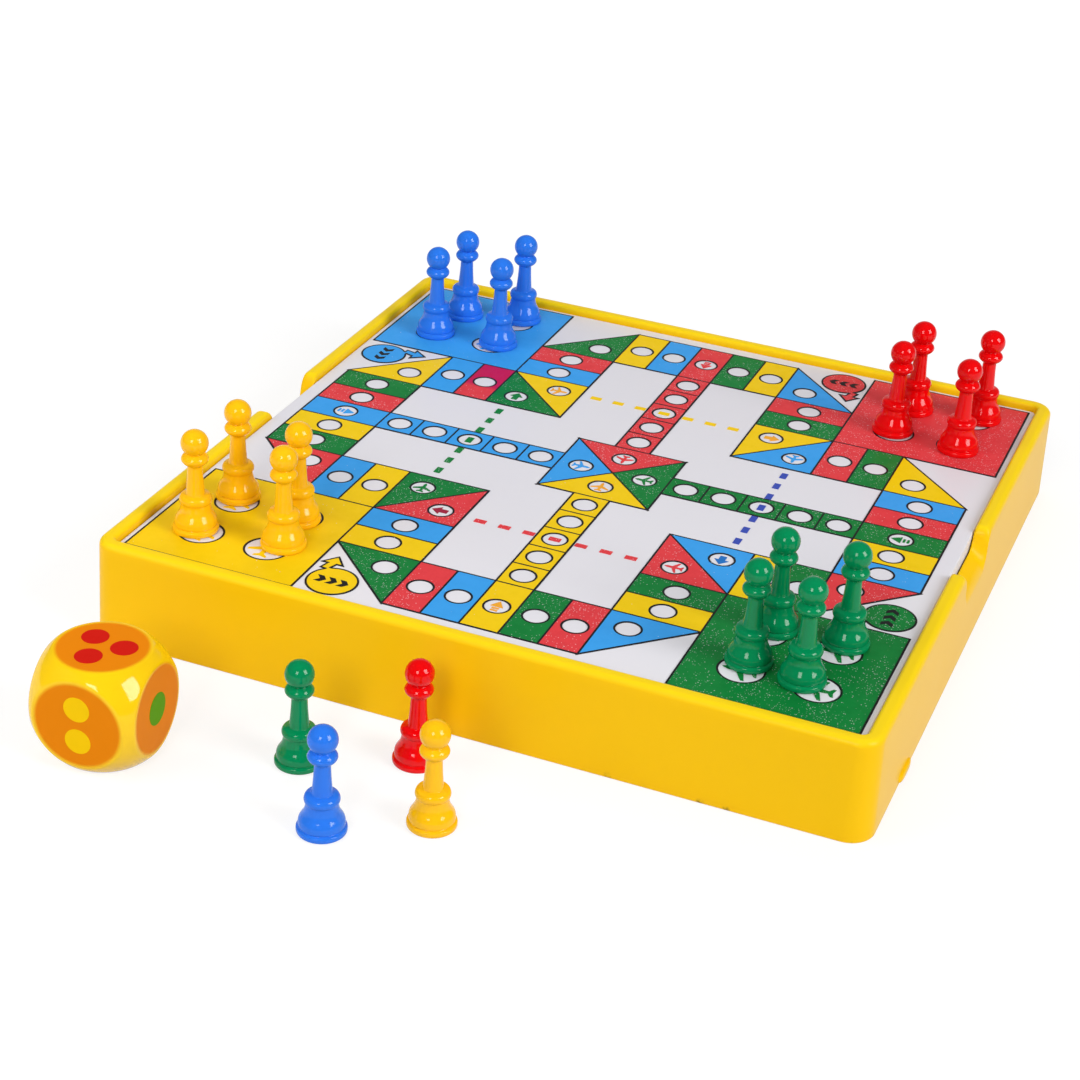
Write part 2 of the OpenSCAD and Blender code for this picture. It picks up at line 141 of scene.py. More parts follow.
# shader helpers
def newGroup(name, inputs, outputs):
    group = bpy.data.node_groups.new(name, "ShaderNodeTree")
    for label, kind, value in inputs:
        socket = group.interface.new_socket(label, in_out="INPUT", socket_type="NodeSocket" + kind)
        socket.default_value = value
    for label, kind in outputs:
        group.interface.new_socket(label, in_out="OUTPUT", socket_type="NodeSocket" + kind)
    return group, group.nodes.new("NodeGroupInput"), group.nodes.new("NodeGroupOutput")


def put(tree, socket, value):  # a link from another node, or a plain value
    if isinstance(value, bpy.types.NodeSocket):
        tree.links.new(value, socket)
    else:
        socket.default_value = value


def addNode(tree, kind, settings=None, **values):  # i0, i1 and so on name a socket by its number
    node = tree.nodes.new("ShaderNode" + kind)
    for key, value in (settings or {}).items():
        setattr(node, key, value)
    for key, value in values.items():
        put(tree, node.inputs[int(key[1:]) if key[1:].isdigit() else key], value)
    return node


def mathNode(tree, operation, a, b):
    return addNode(tree, "Math", {"operation": operation}, i0=a, i1=b).outputs[0]


def mixColour(tree, factor, a, b, blend="MIX"):
    node = addNode(tree, "Mix", {"data_type": "RGBA", "blend_type": blend})
    for index, value in ((0, factor), (6, a), (7, b)):  # the sockets that mix colours
        put(tree, node.inputs[index], value)
    return node.outputs[2]


def ramp(tree, value, low, high, toLow=0.0, toHigh=1.0):  # smooth step between two levels
    node = addNode(tree, "MapRange", {"interpolation_type": "SMOOTHSTEP"})
    labels = ("Value", "From Min", "From Max", "To Min", "To Max")
    for label, number in zip(labels, (value, low, high, toLow, toHigh)):
        put(tree, node.inputs[label], number)
    return node.outputs["Result"]


def noise(tree, place, scale, detail, roughness=0.5):
    node = addNode(tree, "TexNoise", Vector=place, Scale=scale, Detail=detail, Roughness=roughness)
    return node.outputs["Fac"]


def distanceTo(tree, place, spot):
    return addNode(tree, "VectorMath", {"operation": "DISTANCE"}, i0=place, i1=spot).outputs["Value"]


def nearBox(tree, place, centre, half, fade):  # 1 inside an upright box in plan, 0 outside
    away = addNode(tree, "VectorMath", {"operation": "SUBTRACT"}, i0=place, i1=(*centre, 0.0)).outputs[0]
    away = addNode(tree, "VectorMath", {"operation": "ABSOLUTE"}, i0=away).outputs[0]
    axes = addNode(tree, "SeparateXYZ", Vector=away)
    inX = ramp(tree, axes.outputs["X"], half[0] + fade, half[0])
    inY = ramp(tree, axes.outputs["Y"], half[1] + fade, half[1])
    return mathNode(tree, "MULTIPLY", inX, inY)


# moulded plastic: slow cloudy shade, a slightly uneven gloss and a faintly wavy skin
skinLook = {"tint": (0.72, 0.62, 0.6, 1), "cloudRange": (0.3, 0.7), "smearScale": 40.0,
            "smearRange": (0.35, 0.65), "waveScale": 60.0, "waveRoughness": 0.4}
grey = (0.8, 0.8, 0.8, 1)  # what a colour input holds until a material sets it


def makeMouldGroup():
    look = skinLook
    group, into, out = newGroup(
        "mouldedSkin",
        [("Color", "Color", grey), ("Cloud", "Float", 0.05), ("Smooth", "Float", 0.2), ("Dull", "Float", 0.3),
         ("Cloud Scale", "Float", 22.0)],
        [("Color", "Color"), ("Roughness", "Float"), ("Height", "Float")])
    place = addNode(group, "TexCoord").outputs["Object"]
    shade = ramp(group, noise(group, place, into.outputs["Cloud Scale"], detail=3.0), *look["cloudRange"])
    depth = mathNode(group, "MULTIPLY", shade, into.outputs["Cloud"])
    dark = mixColour(group, 1.0, into.outputs["Color"], look["tint"], "MULTIPLY")
    colour = mixColour(group, depth, into.outputs["Color"], dark)
    smear = noise(group, place, look["smearScale"], detail=2.0, roughness=look["waveRoughness"])
    rough = ramp(group, smear, *look["smearRange"], into.outputs["Smooth"], into.outputs["Dull"])
    height = noise(group, place, look["waveScale"], detail=2.0, roughness=look["waveRoughness"])
    for label, socket in (("Color", colour), ("Roughness", rough), ("Height", height)):
        group.links.new(socket, out.inputs[label])
    return group


# printed ink: pinholes where the sheet shows through, a little mottle and an uneven sheen
inkLook = {"tint": (0.6, 0.55, 0.58, 1), "holeLeast": 0.17, "holeSpread": 0.22, "holeCore": 0.5,
           "holeBare": 0.75, "patchScale": 70.0, "patchRange": (0.32, 0.6), "mottleScale": 260.0,
           "mottleRange": (0.35, 0.75), "mottleHeight": 0.3, "sheenRange": (0.3, 0.75),
           "roughness": (0.36, 0.48)}


def makeInkGroup():
    look = inkLook
    group, into, out = newGroup(
        "printedInk",
        [("Color", "Color", grey), ("Bare", "Color", grey), ("Pinholes", "Float", 0.0),
         ("Mottle", "Float", 0.1), ("Pinhole Scale", "Float", 1650.0)],
        [("Color", "Color"), ("Roughness", "Float"), ("Height", "Float")])
    place = addNode(group, "TexCoord").outputs["Object"]
    cells = addNode(group, "TexVoronoi", Vector=place, Scale=into.outputs["Pinhole Scale"])
    pick = addNode(group, "SeparateColor", Color=cells.outputs["Color"])
    size = mathNode(group, "MULTIPLY", pick.outputs["Green"], look["holeSpread"])
    edge = mathNode(group, "ADD", size, look["holeLeast"])
    dot = ramp(group, cells.outputs["Distance"], edge, mathNode(group, "MULTIPLY", size, look["holeCore"]))
    patch = ramp(group, noise(group, place, look["patchScale"], detail=3.0), *look["patchRange"])
    share = mathNode(group, "MULTIPLY", patch, into.outputs["Pinholes"])
    chosen = mathNode(group, "LESS_THAN", pick.outputs["Red"], share)
    hole = mathNode(group, "MULTIPLY", dot, chosen)
    mottle = noise(group, place, look["mottleScale"], detail=4.0, roughness=0.7)
    depth = mathNode(group, "MULTIPLY", ramp(group, mottle, *look["mottleRange"]), into.outputs["Mottle"])
    dark = mixColour(group, 1.0, into.outputs["Color"], look["tint"], "MULTIPLY")
    body = mixColour(group, depth, into.outputs["Color"], dark)
    colour = mixColour(group, mathNode(group, "MULTIPLY", hole, look["holeBare"]), body, into.outputs["Bare"])
    rough = ramp(group, mottle, *look["sheenRange"], *look["roughness"])
    height = mathNode(group, "SUBTRACT", mathNode(group, "MULTIPLY", mottle, look["mottleHeight"]), hole)
    for label, socket in (("Color", colour), ("Roughness", rough), ("Height", height)):
        group.links.new(socket, out.inputs[label])
    return group


mouldedSkin = makeMouldGroup()
printedInk = makeInkGroup()


def newMaterial(name, group, inputs, bump, specular):
    # one Principled shader whose colour, gloss and surface come from a shared group; bump is strength and depth
    material = bpy.data.materials.new(name)
    material.use_nodes = True
    tree = material.node_tree
    tree.nodes.clear()
    out = addNode(tree, "OutputMaterial")
    shader = addNode(tree, "BsdfPrincipled")
    shader.inputs["Specular IOR Level"].default_value = specular
    finish = tree.nodes.new("ShaderNodeGroup")
    finish.node_tree = group
    for label, value in inputs.items():
        finish.inputs[label].default_value = value
    relief = addNode(tree, "Bump", Strength=bump[0], Distance=bump[1], Height=finish.outputs["Height"])
    tree.links.new(relief.outputs["Normal"], shader.inputs["Normal"])
    tree.links.new(finish.outputs["Color"], shader.inputs["Base Color"])
    tree.links.new(finish.outputs["Roughness"], shader.inputs["Roughness"])
    tree.links.new(shader.outputs[0], out.inputs["Surface"])
    return material, tree, shader, finish


trayShape = {
    "half": 0.112, "height": 0.03, "wall": 0.0046, "flare": 0.0008, "corner": 0.0065, "rimOut": 0.002,
    "rimIn": 0.0012, "floor": 0.002, "seat": 0.0224, "footEdge": 0.0005,
    "ribThick": 0.002, "ribDepth": 0.004, "ribFromCorner": 0.034, "ribCorner": 0.0006, "ribEdge": 0.0003,
    "dividerGap": 0.076,
    "notchDepth": 0.0064, "notchFall": 0.004, "notchWidth": 0.028, "notchCorner": 0.0048,
    "notchShoulder": 0.003, "notchEdge": 0.0005, "notchInside": 0.001,
    "nubLength": 0.012, "nubHeight": 0.003, "nubProud": 0.0008, "nubFromFront": 0.036, "nubFoot": 0.0002,
    "nubSunk": 0.0006, "nubPowers": {"ends": 0.6, "sides": 0.7, "shrink": 0.45, "rise": 0.8},
    # painted light: a paler lemon yellow for the top of the rim, where more light falls, and its share
    "colour": linear(249, 197, 12), "paintedRimLightColour": linear(247, 214, 26), "paintedRimLightShare": 0.8,
    "finish": {"Cloud": 0.04, "Smooth": 0.275, "Dull": 0.285, "Cloud Scale": 14.0},
    "bump": (0.03, 0.00005), "specular": 0.1,
    "scuff": linear(120, 92, 40), "scuffFrom": 0.0015, "scuffFull": 0.0003,
    "wearFrom": 0.0016, "wearFull": 0.0004, "gritScale": 420.0, "wearGrit": (0.58, 0.72, 0.0, 0.2),
    "scuffGrit": (0.44, 0.6, 0.1, 0.8),
    "scuffs": [(0.0682, -0.1127, 0.0005), (0.0753, -0.1127, 0.0003), (0.0427, -0.1127, 0.0009)],
}


def makeTrayMaterial():
    t = trayShape
    material, tree, shader, skin = newMaterial(
        "trayYellow", mouldedSkin, {"Color": t["colour"], **t["finish"]}, t["bump"], t["specular"])
    place = addNode(tree, "TexCoord").outputs["Object"]
    height = addNode(tree, "SeparateXYZ", Vector=place).outputs["Z"]
    low = ramp(tree, height, t["wearFrom"], t["wearFull"])  # faint wear all along the foot
    grit = noise(tree, place, t["gritScale"], detail=5.0, roughness=0.7)
    worn = mathNode(tree, "MULTIPLY", low, ramp(tree, grit, *t["wearGrit"]))
    for spot in t["scuffs"]:  # and a few darker scuffs on its front edge
        near = ramp(tree, distanceTo(tree, place, spot), t["scuffFrom"], t["scuffFull"])
        rubbed = mathNode(tree, "MULTIPLY", near, ramp(tree, grit, *t["scuffGrit"]))
        worn = mathNode(tree, "MAXIMUM", worn, rubbed)
    paintedRimLight = ramp(tree, height, t["height"] - t["rimOut"], t["height"], 0.0, t["paintedRimLightShare"])
    shade = mixColour(tree, paintedRimLight, skin.outputs["Color"], t["paintedRimLightColour"])  # painted light: the top of the rim paler and more lemon, as where it catches more light
    tree.links.new(mixColour(tree, worn, shade, t["scuff"]), shader.inputs["Base Color"])
    return material


def makeTray(material):
    t = trayShape
    # the side walls' notches: a flat valley whose ends turn up round a corner and over a shoulder into the rim,
    # as a dip from 0 on the rim to 1 on the valley's floor, drawn a little inside the wall and deeper towards
    # its outer face
    bottomR, shoulderR = t["notchCorner"], t["notchShoulder"]
    inner = t["corner"] - t["wall"]
    slope = t["notchFall"] / t["wall"]
    drawn = t["notchDepth"] - slope * t["notchInside"]
    steep = math.acos(max(0.0, 1 - drawn / (bottomR + shoulderR)))
    flatHalf = t["notchWidth"] / 2 - bottomR * math.sin(steep)
    shoulderAt = t["notchWidth"] / 2 + shoulderR * math.sin(steep)
    sideHalf = t["half"] - t["corner"]
    swing = np.sin(np.linspace(0, steep, 15))
    stations = np.concatenate([
        np.linspace(0, flatHalf, 8)[:-1], flatHalf + bottomR * swing,
        (shoulderAt - shoulderR * swing)[::-1][1:], np.linspace(shoulderAt, sideHalf, 12)[1:]])
    along = np.concatenate([-stations[::-1], stations[1:]]) / sideHalf
    path = roundedPath(t["half"], t["half"], t["corner"], along, 14)
    across = np.abs(path["unit"][:, 1]) * sideHalf
    valley = drawn - bottomR + np.sqrt(np.maximum(bottomR ** 2 - np.maximum(across - flatHalf, 0) ** 2, 0))
    shoulder = shoulderR - np.sqrt(np.maximum(shoulderR ** 2 - (shoulderAt - across) ** 2, 0))
    dip = np.where(across <= t["notchWidth"] / 2, valley, np.where(across < shoulderAt, shoulder, 0)) / drawn
    dip = np.where((path["side"] == 0) | (path["side"] == 2), dip, 0)

    def lowered(distance):  # how far a notch takes the rim down
        return dip * (t["notchDepth"] + slope * (distance - inner))

    def outerFace(z):  # stands out towards the table
        return t["corner"] + t["flare"] * np.maximum(0, 1 - z / (t["height"] - t["rimOut"]))

    edgeIn = t["rimIn"] + (t["notchEdge"] - t["rimIn"]) * dip
    up = np.linspace(0, 1, 12)[:, None]
    innerZ = t["floor"] + up * (t["height"] - edgeIn - lowered(inner) - t["floor"])
    bend = np.radians(np.linspace(180, 90, 9))[1:, None]
    reach = inner + edgeIn * (1 + np.cos(bend))
    innerArc = (reach, t["height"] - edgeIn * (1 - np.sin(bend)) - lowered(reach))
    bend = np.radians(np.linspace(90, 0, 11))[:, None]
    reach = outerFace(t["height"] - t["rimOut"] - lowered(t["corner"])) - t["rimOut"] * (1 - np.cos(bend))
    outerArc = (reach, t["height"] - t["rimOut"] * (1 - np.sin(bend)) - lowered(reach))
    outerZ = t["footEdge"] + np.linspace(1, 0, 12)[1:, None] * (outerArc[1][-1] - t["footEdge"])
    bend = np.radians(np.linspace(0, -90, 5))[1:, None]
    level = 0 * dip  # the foot runs level under the notches too
    foot = (outerFace(0.0) - t["footEdge"] * (1 - np.cos(bend)) + level,
            t["footEdge"] * (1 + np.sin(bend)) + level)
    distance = np.concatenate([inner + 0 * innerZ, innerArc[0], outerArc[0], outerFace(outerZ), foot[0]])
    height = np.concatenate([innerZ, innerArc[1], outerArc[1], outerZ, foot[1]])
    points, faces = sweptShell(path, distance, height, inward=True)
    addPiece("trayShell", points, faces, material, "tray", ["tray"], sharpAngle=35)

    # ribs and dividers: a bar with round upright edges and a softened top, from the floor to the panel's seat
    inside = t["half"] - t["wall"]
    sunk = t["wall"] / 2
    ribLength = t["ribDepth"] + sunk
    ribSpot = inside - t["ribFromCorner"]
    bars = [(0, s * t["dividerGap"] / 2, inside + sunk, t["ribThick"] / 2) for s in (-1, 1)]
    for s in (-1, 1):
        for e in (-1, 1):
            bars.append((s * ribSpot, e * (inside + sunk - ribLength / 2), t["ribThick"] / 2, ribLength / 2))
            bars.append((e * (inside + sunk - ribLength / 2), s * ribSpot, ribLength / 2, t["ribThick"] / 2))
    corner, edge = t["ribCorner"], t["ribEdge"]
    top = arcPoints((corner - edge, t["seat"] - edge), edge, 0, 90, 3)
    profile = np.concatenate([[[corner, t["floor"] / 2]], top])
    allPoints, allFaces, start = [], [], 0
    for x, y, halfX, halfY in bars:
        points, faces = sweptShell(roundedPath(halfX, halfY, corner, np.array([-1.0, 1.0]), 4),
                                   profile[:, :1], profile[:, 1:], (x, y))
        allPoints.append(points)
        allFaces += [[start + i for i in f] for f in faces]
        start += len(points)
    addPiece("trayRibs", np.concatenate(allPoints), allFaces, material, "tray", [])

    # nub: a closed pillow on the right wall, rounded off by a quarter of a superellipse from its outline to
    # its crown
    sunk, power = t["nubSunk"], t["nubPowers"]
    wallX, middleY = t["half"] + t["flare"], -t["half"] + t["nubFromFront"]
    u = np.linspace(0, 2 * math.pi, 40, endpoint=False)[None, :]
    v = np.concatenate([[0.0], np.linspace(0.04, 1, 14)])[:-1, None]
    outline = np.stack([np.sign(np.cos(u)) * np.abs(np.cos(u)) ** power["ends"],
                        np.sign(np.sin(u)) * np.abs(np.sin(u)) ** power["sides"]])
    shrink = np.cos(v * math.pi / 2) ** power["shrink"]
    x = wallX - sunk + (t["nubProud"] + sunk) * np.sin(v * math.pi / 2) ** power["rise"] + 0 * u
    y = middleY + outline[0] * shrink * t["nubLength"] / 2
    z = t["nubFoot"] + t["nubHeight"] / 2 * (1 + outline[1] * shrink)
    crown = [[wallX + t["nubProud"], middleY, t["nubFoot"] + t["nubHeight"] / 2]]
    points = np.concatenate([np.stack([x, y, z], -1).reshape(-1, 3), crown])
    rows, columns = x.shape
    j = np.arange(columns)
    last = (rows - 1) * columns
    fan = np.stack([last + j, last + (j + 1) % columns, np.full(columns, rows * columns)], 1)
    faces = gridFaces(rows, columns)[:, ::-1].tolist() + fan.tolist() + [list(range(columns))[::-1]]
    addPiece("trayNub", points, faces, material, "tray", [])


makeTray(makeTrayMaterial())
print("tray: shell, ribs and nub")


panelShape = {
    "half": 0.107, "corner": 0.0015, "foot": 0.0224, "low": 0.0258, "high": 0.0278, "lip": 0.0016,
    "edge": 0.0004, "underReach": 0.004, "colour": linear(226, 224, 230),
    "finish": {"Cloud": 0.02, "Smooth": 0.32, "Dull": 0.42, "Cloud Scale": 9.0},
    "bump": (0.1, 0.00005), "specular": 0.3,
}


def makePanel():
    p = panelShape
    material = newMaterial(
        "panelWhite", mouldedSkin, {"Color": p["colour"], **p["finish"]}, p["bump"], p["specular"])[0]
    # a plate with its edge turned down, in section: under the plate, down inside the lip, round its foot and
    # up outside
    r, e = p["corner"], p["edge"]
    inner = r - p["lip"]
    profile = np.concatenate([
        [[inner - p["underReach"], p["low"]]],
        arcPoints((inner - e, p["low"] - e), e, 90, 0, 4),
        arcPoints((inner + e / 2, p["foot"] + e / 2), e / 2, 180, 270, 3),
        arcPoints((r - e, p["foot"] + e), e, -90, 0, 4),
        arcPoints((r - e, p["high"] - e), e, 0, 90, 5)])
    path = roundedPath(p["half"], p["half"], r, np.linspace(-1, 1, 17), 8)
    points, faces = sweptShell(path, profile[:, :1], profile[:, 1:])
    addPiece("panelSheet", points, faces, material, "panel", ["panel"], sharpAngle=60)


inks = {
    "red": {"colour": linear(224, 62, 68), "pinholes": 0.95, "mottle": 0.16},
    "blue": {"colour": linear(59, 159, 234), "pinholes": 0.03, "mottle": 0.08},
    "yellow": {"colour": linear(242, 202, 12), "pinholes": 0.03, "mottle": 0.08},
    "green": {"colour": linear(12, 125, 54), "pinholes": 1.0, "mottle": 0.2},
    "outlines": {"colour": linear(26, 26, 30), "pinholes": 0.02, "mottle": 0.1},
}
inkBump, inkSpecular = (0.1, 0.00003), 0.14
# marks that were printed in another shade than their ink: where, how far to each side, how soft an edge and
# which colour
markHalf, markFade = (0.003, 0.003), 0.0002
oddMarks = {
    "red": [((-0.0578, 0.0475), (0.0075, 0.0085), 0.003, linear(196, 24, 78)),
            ((-0.0358, -0.0464), markHalf, markFade, linear(158, 34, 62))],
    "blue": [((0.0467, 0.0), (0.004, 0.0258), markFade, linear(58, 78, 176)),
             ((0.0464, -0.0358), markHalf, markFade, linear(34, 112, 190))],
    "yellow": [(spot, markHalf, markFade, linear(238, 166, 48))
               for spot in ((-0.0358, 0.0464), (0.0, -0.0098), (0.0358, 0.0464), (0.0, -0.089))],
}


def dressPrint():
    for name, ink in inks.items():
        material, tree, shader, finish = newMaterial(
            "ink" + name.capitalize(), printedInk,
            {"Color": ink["colour"], "Bare": panelShape["colour"], "Pinholes": ink["pinholes"],
             "Mottle": ink["mottle"]}, inkBump, inkSpecular)
        place = addNode(tree, "TexCoord").outputs["Object"]
        shade = finish.outputs["Color"]
        for centre, half, fade, colour in oddMarks.get(name, []):
            shade = mixColour(tree, nearBox(tree, place, centre, half, fade), shade, colour)
        tree.links.new(shade, shader.inputs["Base Color"])
        dress("print_" + name, material)


makePanel()
dressPrint()
print("panel and", len(inks), "inks")


pawnShape = {
    "height": 0.0308, "baseRadius": 0.0065, "baseHeight": 0.0021, "edge": 0.0005, "groove": 0.0004,
    "bellHeight": 0.0065, "bellShoulder": 0.48, "bellInset": 1.25, "waist": 0.00415,
    "ring": 0.0046, "ringHeight": 0.0026, "ringFullness": 0.6, "shelfIn": 0.25, "shelfDown": 0.1,
    "neckLow": 0.0027, "neck": 0.0021, "neckEase": 1.6,
    "collar": 0.00385, "collarHeight": 0.0036, "collarFullness": 0.7, "head": 0.0039, "headFrom": -52,
    "samples": 900, "soften": 9, "rows": 96, "evenness": 0.012, "around": 56, "eachHue": 5,
    "colours": {"yellow": linear(255, 193, 15), "green": linear(0, 136, 82), "red": linear(232, 4, 8),
                "blue": linear(42, 119, 232)},
    "finish": {"Cloud": 0.08, "Smooth": 0.06, "Dull": 0.09, "Cloud Scale": 90.0},
    "bump": (0.02, 0.00004), "specular": 0.32,
}


def pawnProfile():
    # radius against height: a rounded base ring, a bell that falls off with the fourth power of height, two
    # swellings that are sines between their ends, a neck that eases out into the ring below it and a ball; the
    # line is then evened out and softened by a running mean
    p = pawnShape

    def swelling(r0, z0, r1, z1, widest, fullness):
        t = np.linspace(0, 1, 40)[1:-1]
        return np.stack([r0 + (r1 - r0) * t + (widest - (r0 + r1) / 2) * np.sin(math.pi * t) ** fullness,
                         z0 + (z1 - z0) * t], 1)

    bellZ = p["baseHeight"] + p["bellHeight"]
    neckZ = bellZ + p["ringHeight"]
    headZ = p["height"] - p["head"]
    foot = math.radians(p["headFrom"])
    headFoot = (p["head"] * math.cos(foot), headZ + p["head"] * math.sin(foot))
    collarZ = headFoot[1] - p["collarHeight"]
    t = np.linspace(0, 1, 40)
    bellRadius = p["baseRadius"] - p["bellInset"] * p["groove"]
    fall = 1 / (1 + (t / p["bellShoulder"]) ** 4)
    share = (fall - fall[-1]) / (1 - fall[-1])
    bell = np.stack([p["waist"] + (bellRadius - p["waist"]) * share, p["baseHeight"] + p["bellHeight"] * t], 1)
    neck = np.stack([p["neck"] + (p["neckLow"] - p["neck"]) * (1 - t) ** p["neckEase"],
                     neckZ + (collarZ - neckZ) * t], 1)
    shelf = (p["ring"] - p["shelfIn"] * p["ringHeight"], neckZ - p["shelfDown"] * p["ringHeight"])
    inset = p["baseRadius"] - p["edge"]
    line = np.concatenate([
        [[0, 0], [inset, 0]],
        arcPoints((inset, p["edge"]), p["edge"], -80, 0, 8),
        arcPoints((inset, p["baseHeight"] - p["groove"] - p["edge"]), p["edge"], 0, 60, 8),
        [[p["baseRadius"] - 2 * p["groove"], p["baseHeight"] - p["groove"] / 2]],
        bell,
        swelling(p["waist"], bellZ, *shelf, p["ring"], p["ringFullness"]),
        [shelf],
        neck,
        swelling(p["neck"], collarZ, *headFoot, p["collar"], p["collarFullness"]),
        arcPoints((0, headZ), p["head"], p["headFrom"], 90, 60)])
    run = np.concatenate([[0], np.cumsum(np.hypot(*np.diff(line, axis=0).T))])
    even = np.linspace(0, run[-1], p["samples"])
    r, z = np.interp(even, run, line[:, 0]), np.interp(even, run, line[:, 1])
    kernel = np.ones(p["soften"]) / p["soften"]
    pad = p["soften"] // 2
    soft = [np.convolve(np.pad(v, pad, mode="reflect", reflect_type="odd"), kernel, "valid") for v in (r, z)]
    soft = np.stack(soft, 1)
    soft[0], soft[-1] = (0, 0), (0, p["height"])
    heading = np.unwrap(np.arctan2(np.gradient(soft[:, 1]), np.gradient(soft[:, 0])))
    weight = np.cumsum(np.abs(np.gradient(heading)) + p["evenness"])  # more rows where the line bends
    last = len(soft) - 1
    keep = np.searchsorted(weight, np.linspace(weight[0], weight[-1], p["rows"])).clip(0, last)
    return soft[np.unique(np.concatenate([[0], keep, [last]]))]


def makePawns():
    p = pawnShape
    profile = pawnProfile()
    for hue, colour in p["colours"].items():
        material = newMaterial(
            "pawn" + hue.capitalize(), mouldedSkin, {"Color": colour, **p["finish"]},
            p["bump"], p["specular"])[0]
        for i in range(1, p["eachHue"] + 1):
            node = f"pawn_{hue}_{i}"
            low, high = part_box(node)
            centre = ((low.x + high.x) / 2, (low.y + high.y) / 2, low.z)
            points, faces = turnedShell(profile, centre, p["around"])
            addPiece(f"pawnBody_{hue}_{i}", points, faces, material, node, [node], sharpAngle=50)
    return len(profile)


print("pawns:", len(pawnShape["colours"]) * pawnShape["eachHue"], "each of", makePawns(), "rows")


dieShape = {
    "turn": 4.0, "flat": 0.01494, "round": 0.0197, "tight": 110, "around": 96,
    "colour": linear(250, 204, 14), "disc": linear(228, 130, 10), "discRadius": 0.012, "discFade": 0.0007,
    "discDull": 0.22, "gloss": 0.7, "glossRough": 0.06,
    "finish": {"Cloud": 0.12, "Smooth": 0.1, "Dull": 0.17, "Cloud Scale": 45.0},
    "bump": (0.1, 0.00005), "specular": 0.03,
    "pips": {"red": linear(204, 28, 18), "yellow": linear(244, 198, 10), "green": linear(90, 152, 0)},
    "pipFinish": {"Pinholes": 0.02, "Mottle": 0.06}, "pipBump": (0.1, 0.00003),
}


def makeDie():
    d = dieShape
    low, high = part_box("die_discs")
    centre = np.array((low + high) / 2)
    # six patches, each a polar grid about one flat: rings are circles out to the flat's edge and ease into the
    # square border of the patch; the distance from the middle is the soft minimum of the ball's radius and the
    # flats' planes
    flatEdge = math.acos(d["flat"] / d["round"])
    theta = np.linspace(0, 2 * math.pi, d["around"], endpoint=False)[None, :]
    border = np.arctan(1 / np.maximum(np.abs(np.cos(theta)), np.abs(np.sin(theta))))
    # rings as shares of the way to the flat's edge, and from there to the border, closer about the edge
    inside = np.concatenate([np.linspace(0.08, 0.9, 9), np.linspace(0.92, 1, 7)])[:, None]
    outside = np.concatenate([np.linspace(0.03, 0.25, 7), np.linspace(0.35, 1, 9)])[:, None]
    alpha = np.concatenate([flatEdge * inside + 0 * theta, flatEdge + (border - flatEdge) * outside])
    direction = np.stack([np.cos(alpha), np.sin(alpha) * np.cos(theta), np.sin(alpha) * np.sin(theta)], -1)
    direction = np.concatenate([direction.reshape(-1, 3), [[1.0, 0.0, 0.0]]])
    planes = d["flat"] / np.maximum(np.abs(direction), 1e-6)
    p = d["tight"]
    reach = d["round"] * (1 + np.sum((planes / d["round"]) ** -p, 1)) ** (-1 / p)
    patch = direction * reach[:, None]
    rows, columns = alpha.shape
    quads = gridFaces(rows, columns)
    j = np.arange(columns)
    fan = np.stack([np.full(columns, rows * columns), j, (j + 1) % columns], 1)
    quarter = math.pi / 2
    turns = [(0, "Z"), (math.pi, "Z"), (quarter, "Z"), (-quarter, "Z"), (-quarter, "Y"), (quarter, "Y")]
    turns = [np.round(Matrix.Rotation(angle, 3, axis)) for angle, axis in turns]  # free of rounding errors
    turn = math.radians(d["turn"])
    lay = np.array([[math.cos(turn), -math.sin(turn), 0], [math.sin(turn), math.cos(turn), 0], [0, 0, 1]])
    points = np.concatenate([patch @ (lay @ m).T for m in turns]) + centre
    faces = []
    for k in range(len(turns)):
        faces += (quads + k * len(patch)).tolist() + (fan + k * len(patch)).tolist()
    # patches share their border points
    same, index = np.unique(np.round(points, 7), axis=0, return_inverse=True)
    index = index.ravel().tolist()
    faces = [[index[i] for i in f] for f in faces]

    material, tree, shader, skin = newMaterial(
        "dieYellow", mouldedSkin, {"Color": d["colour"], **d["finish"]}, d["bump"], d["specular"])
    place = addNode(tree, "TexCoord").outputs["Object"]
    local = addNode(tree, "Mapping", {"vector_type": "TEXTURE"}, Vector=place, Location=centre.tolist(),
                    Rotation=(0, 0, turn)).outputs[0]
    folded = addNode(tree, "VectorMath", {"operation": "ABSOLUTE"}, i0=local).outputs[0]
    near = None
    for axis in range(3):  # distance to the nearest flat's middle
        middle = [d["flat"] if k == axis else 0.0 for k in range(3)]
        away = distanceTo(tree, folded, middle)
        near = away if near is None else mathNode(tree, "MINIMUM", near, away)
    disc = ramp(tree, near, d["discRadius"] + d["discFade"], d["discRadius"] - d["discFade"])
    tree.links.new(mixColour(tree, disc, skin.outputs["Color"], d["disc"]), shader.inputs["Base Color"])
    dulled = mathNode(tree, "MULTIPLY", disc, d["discDull"])  # ink is duller
    tree.links.new(mathNode(tree, "ADD", skin.outputs["Roughness"], dulled), shader.inputs["Roughness"])
    bare = mathNode(tree, "SUBTRACT", 1.0, disc)  # and the bare plastic shines
    tree.links.new(mathNode(tree, "MULTIPLY", bare, d["gloss"]), shader.inputs["Coat Weight"])
    shader.inputs["Coat Roughness"].default_value = d["glossRough"]
    addPiece("dieBody", same, faces, material, "die", ["die", "die_discs"], sharpAngle=60)
    for hue, colour in d["pips"].items():
        material = newMaterial(
            "pip" + hue.capitalize(), printedInk,
            {"Color": colour, "Bare": d["disc"], **d["pipFinish"]}, d["pipBump"], d["specular"])[0]
        dress("die_pips_" + hue, material)


makeDie()
print("die: body and pips")


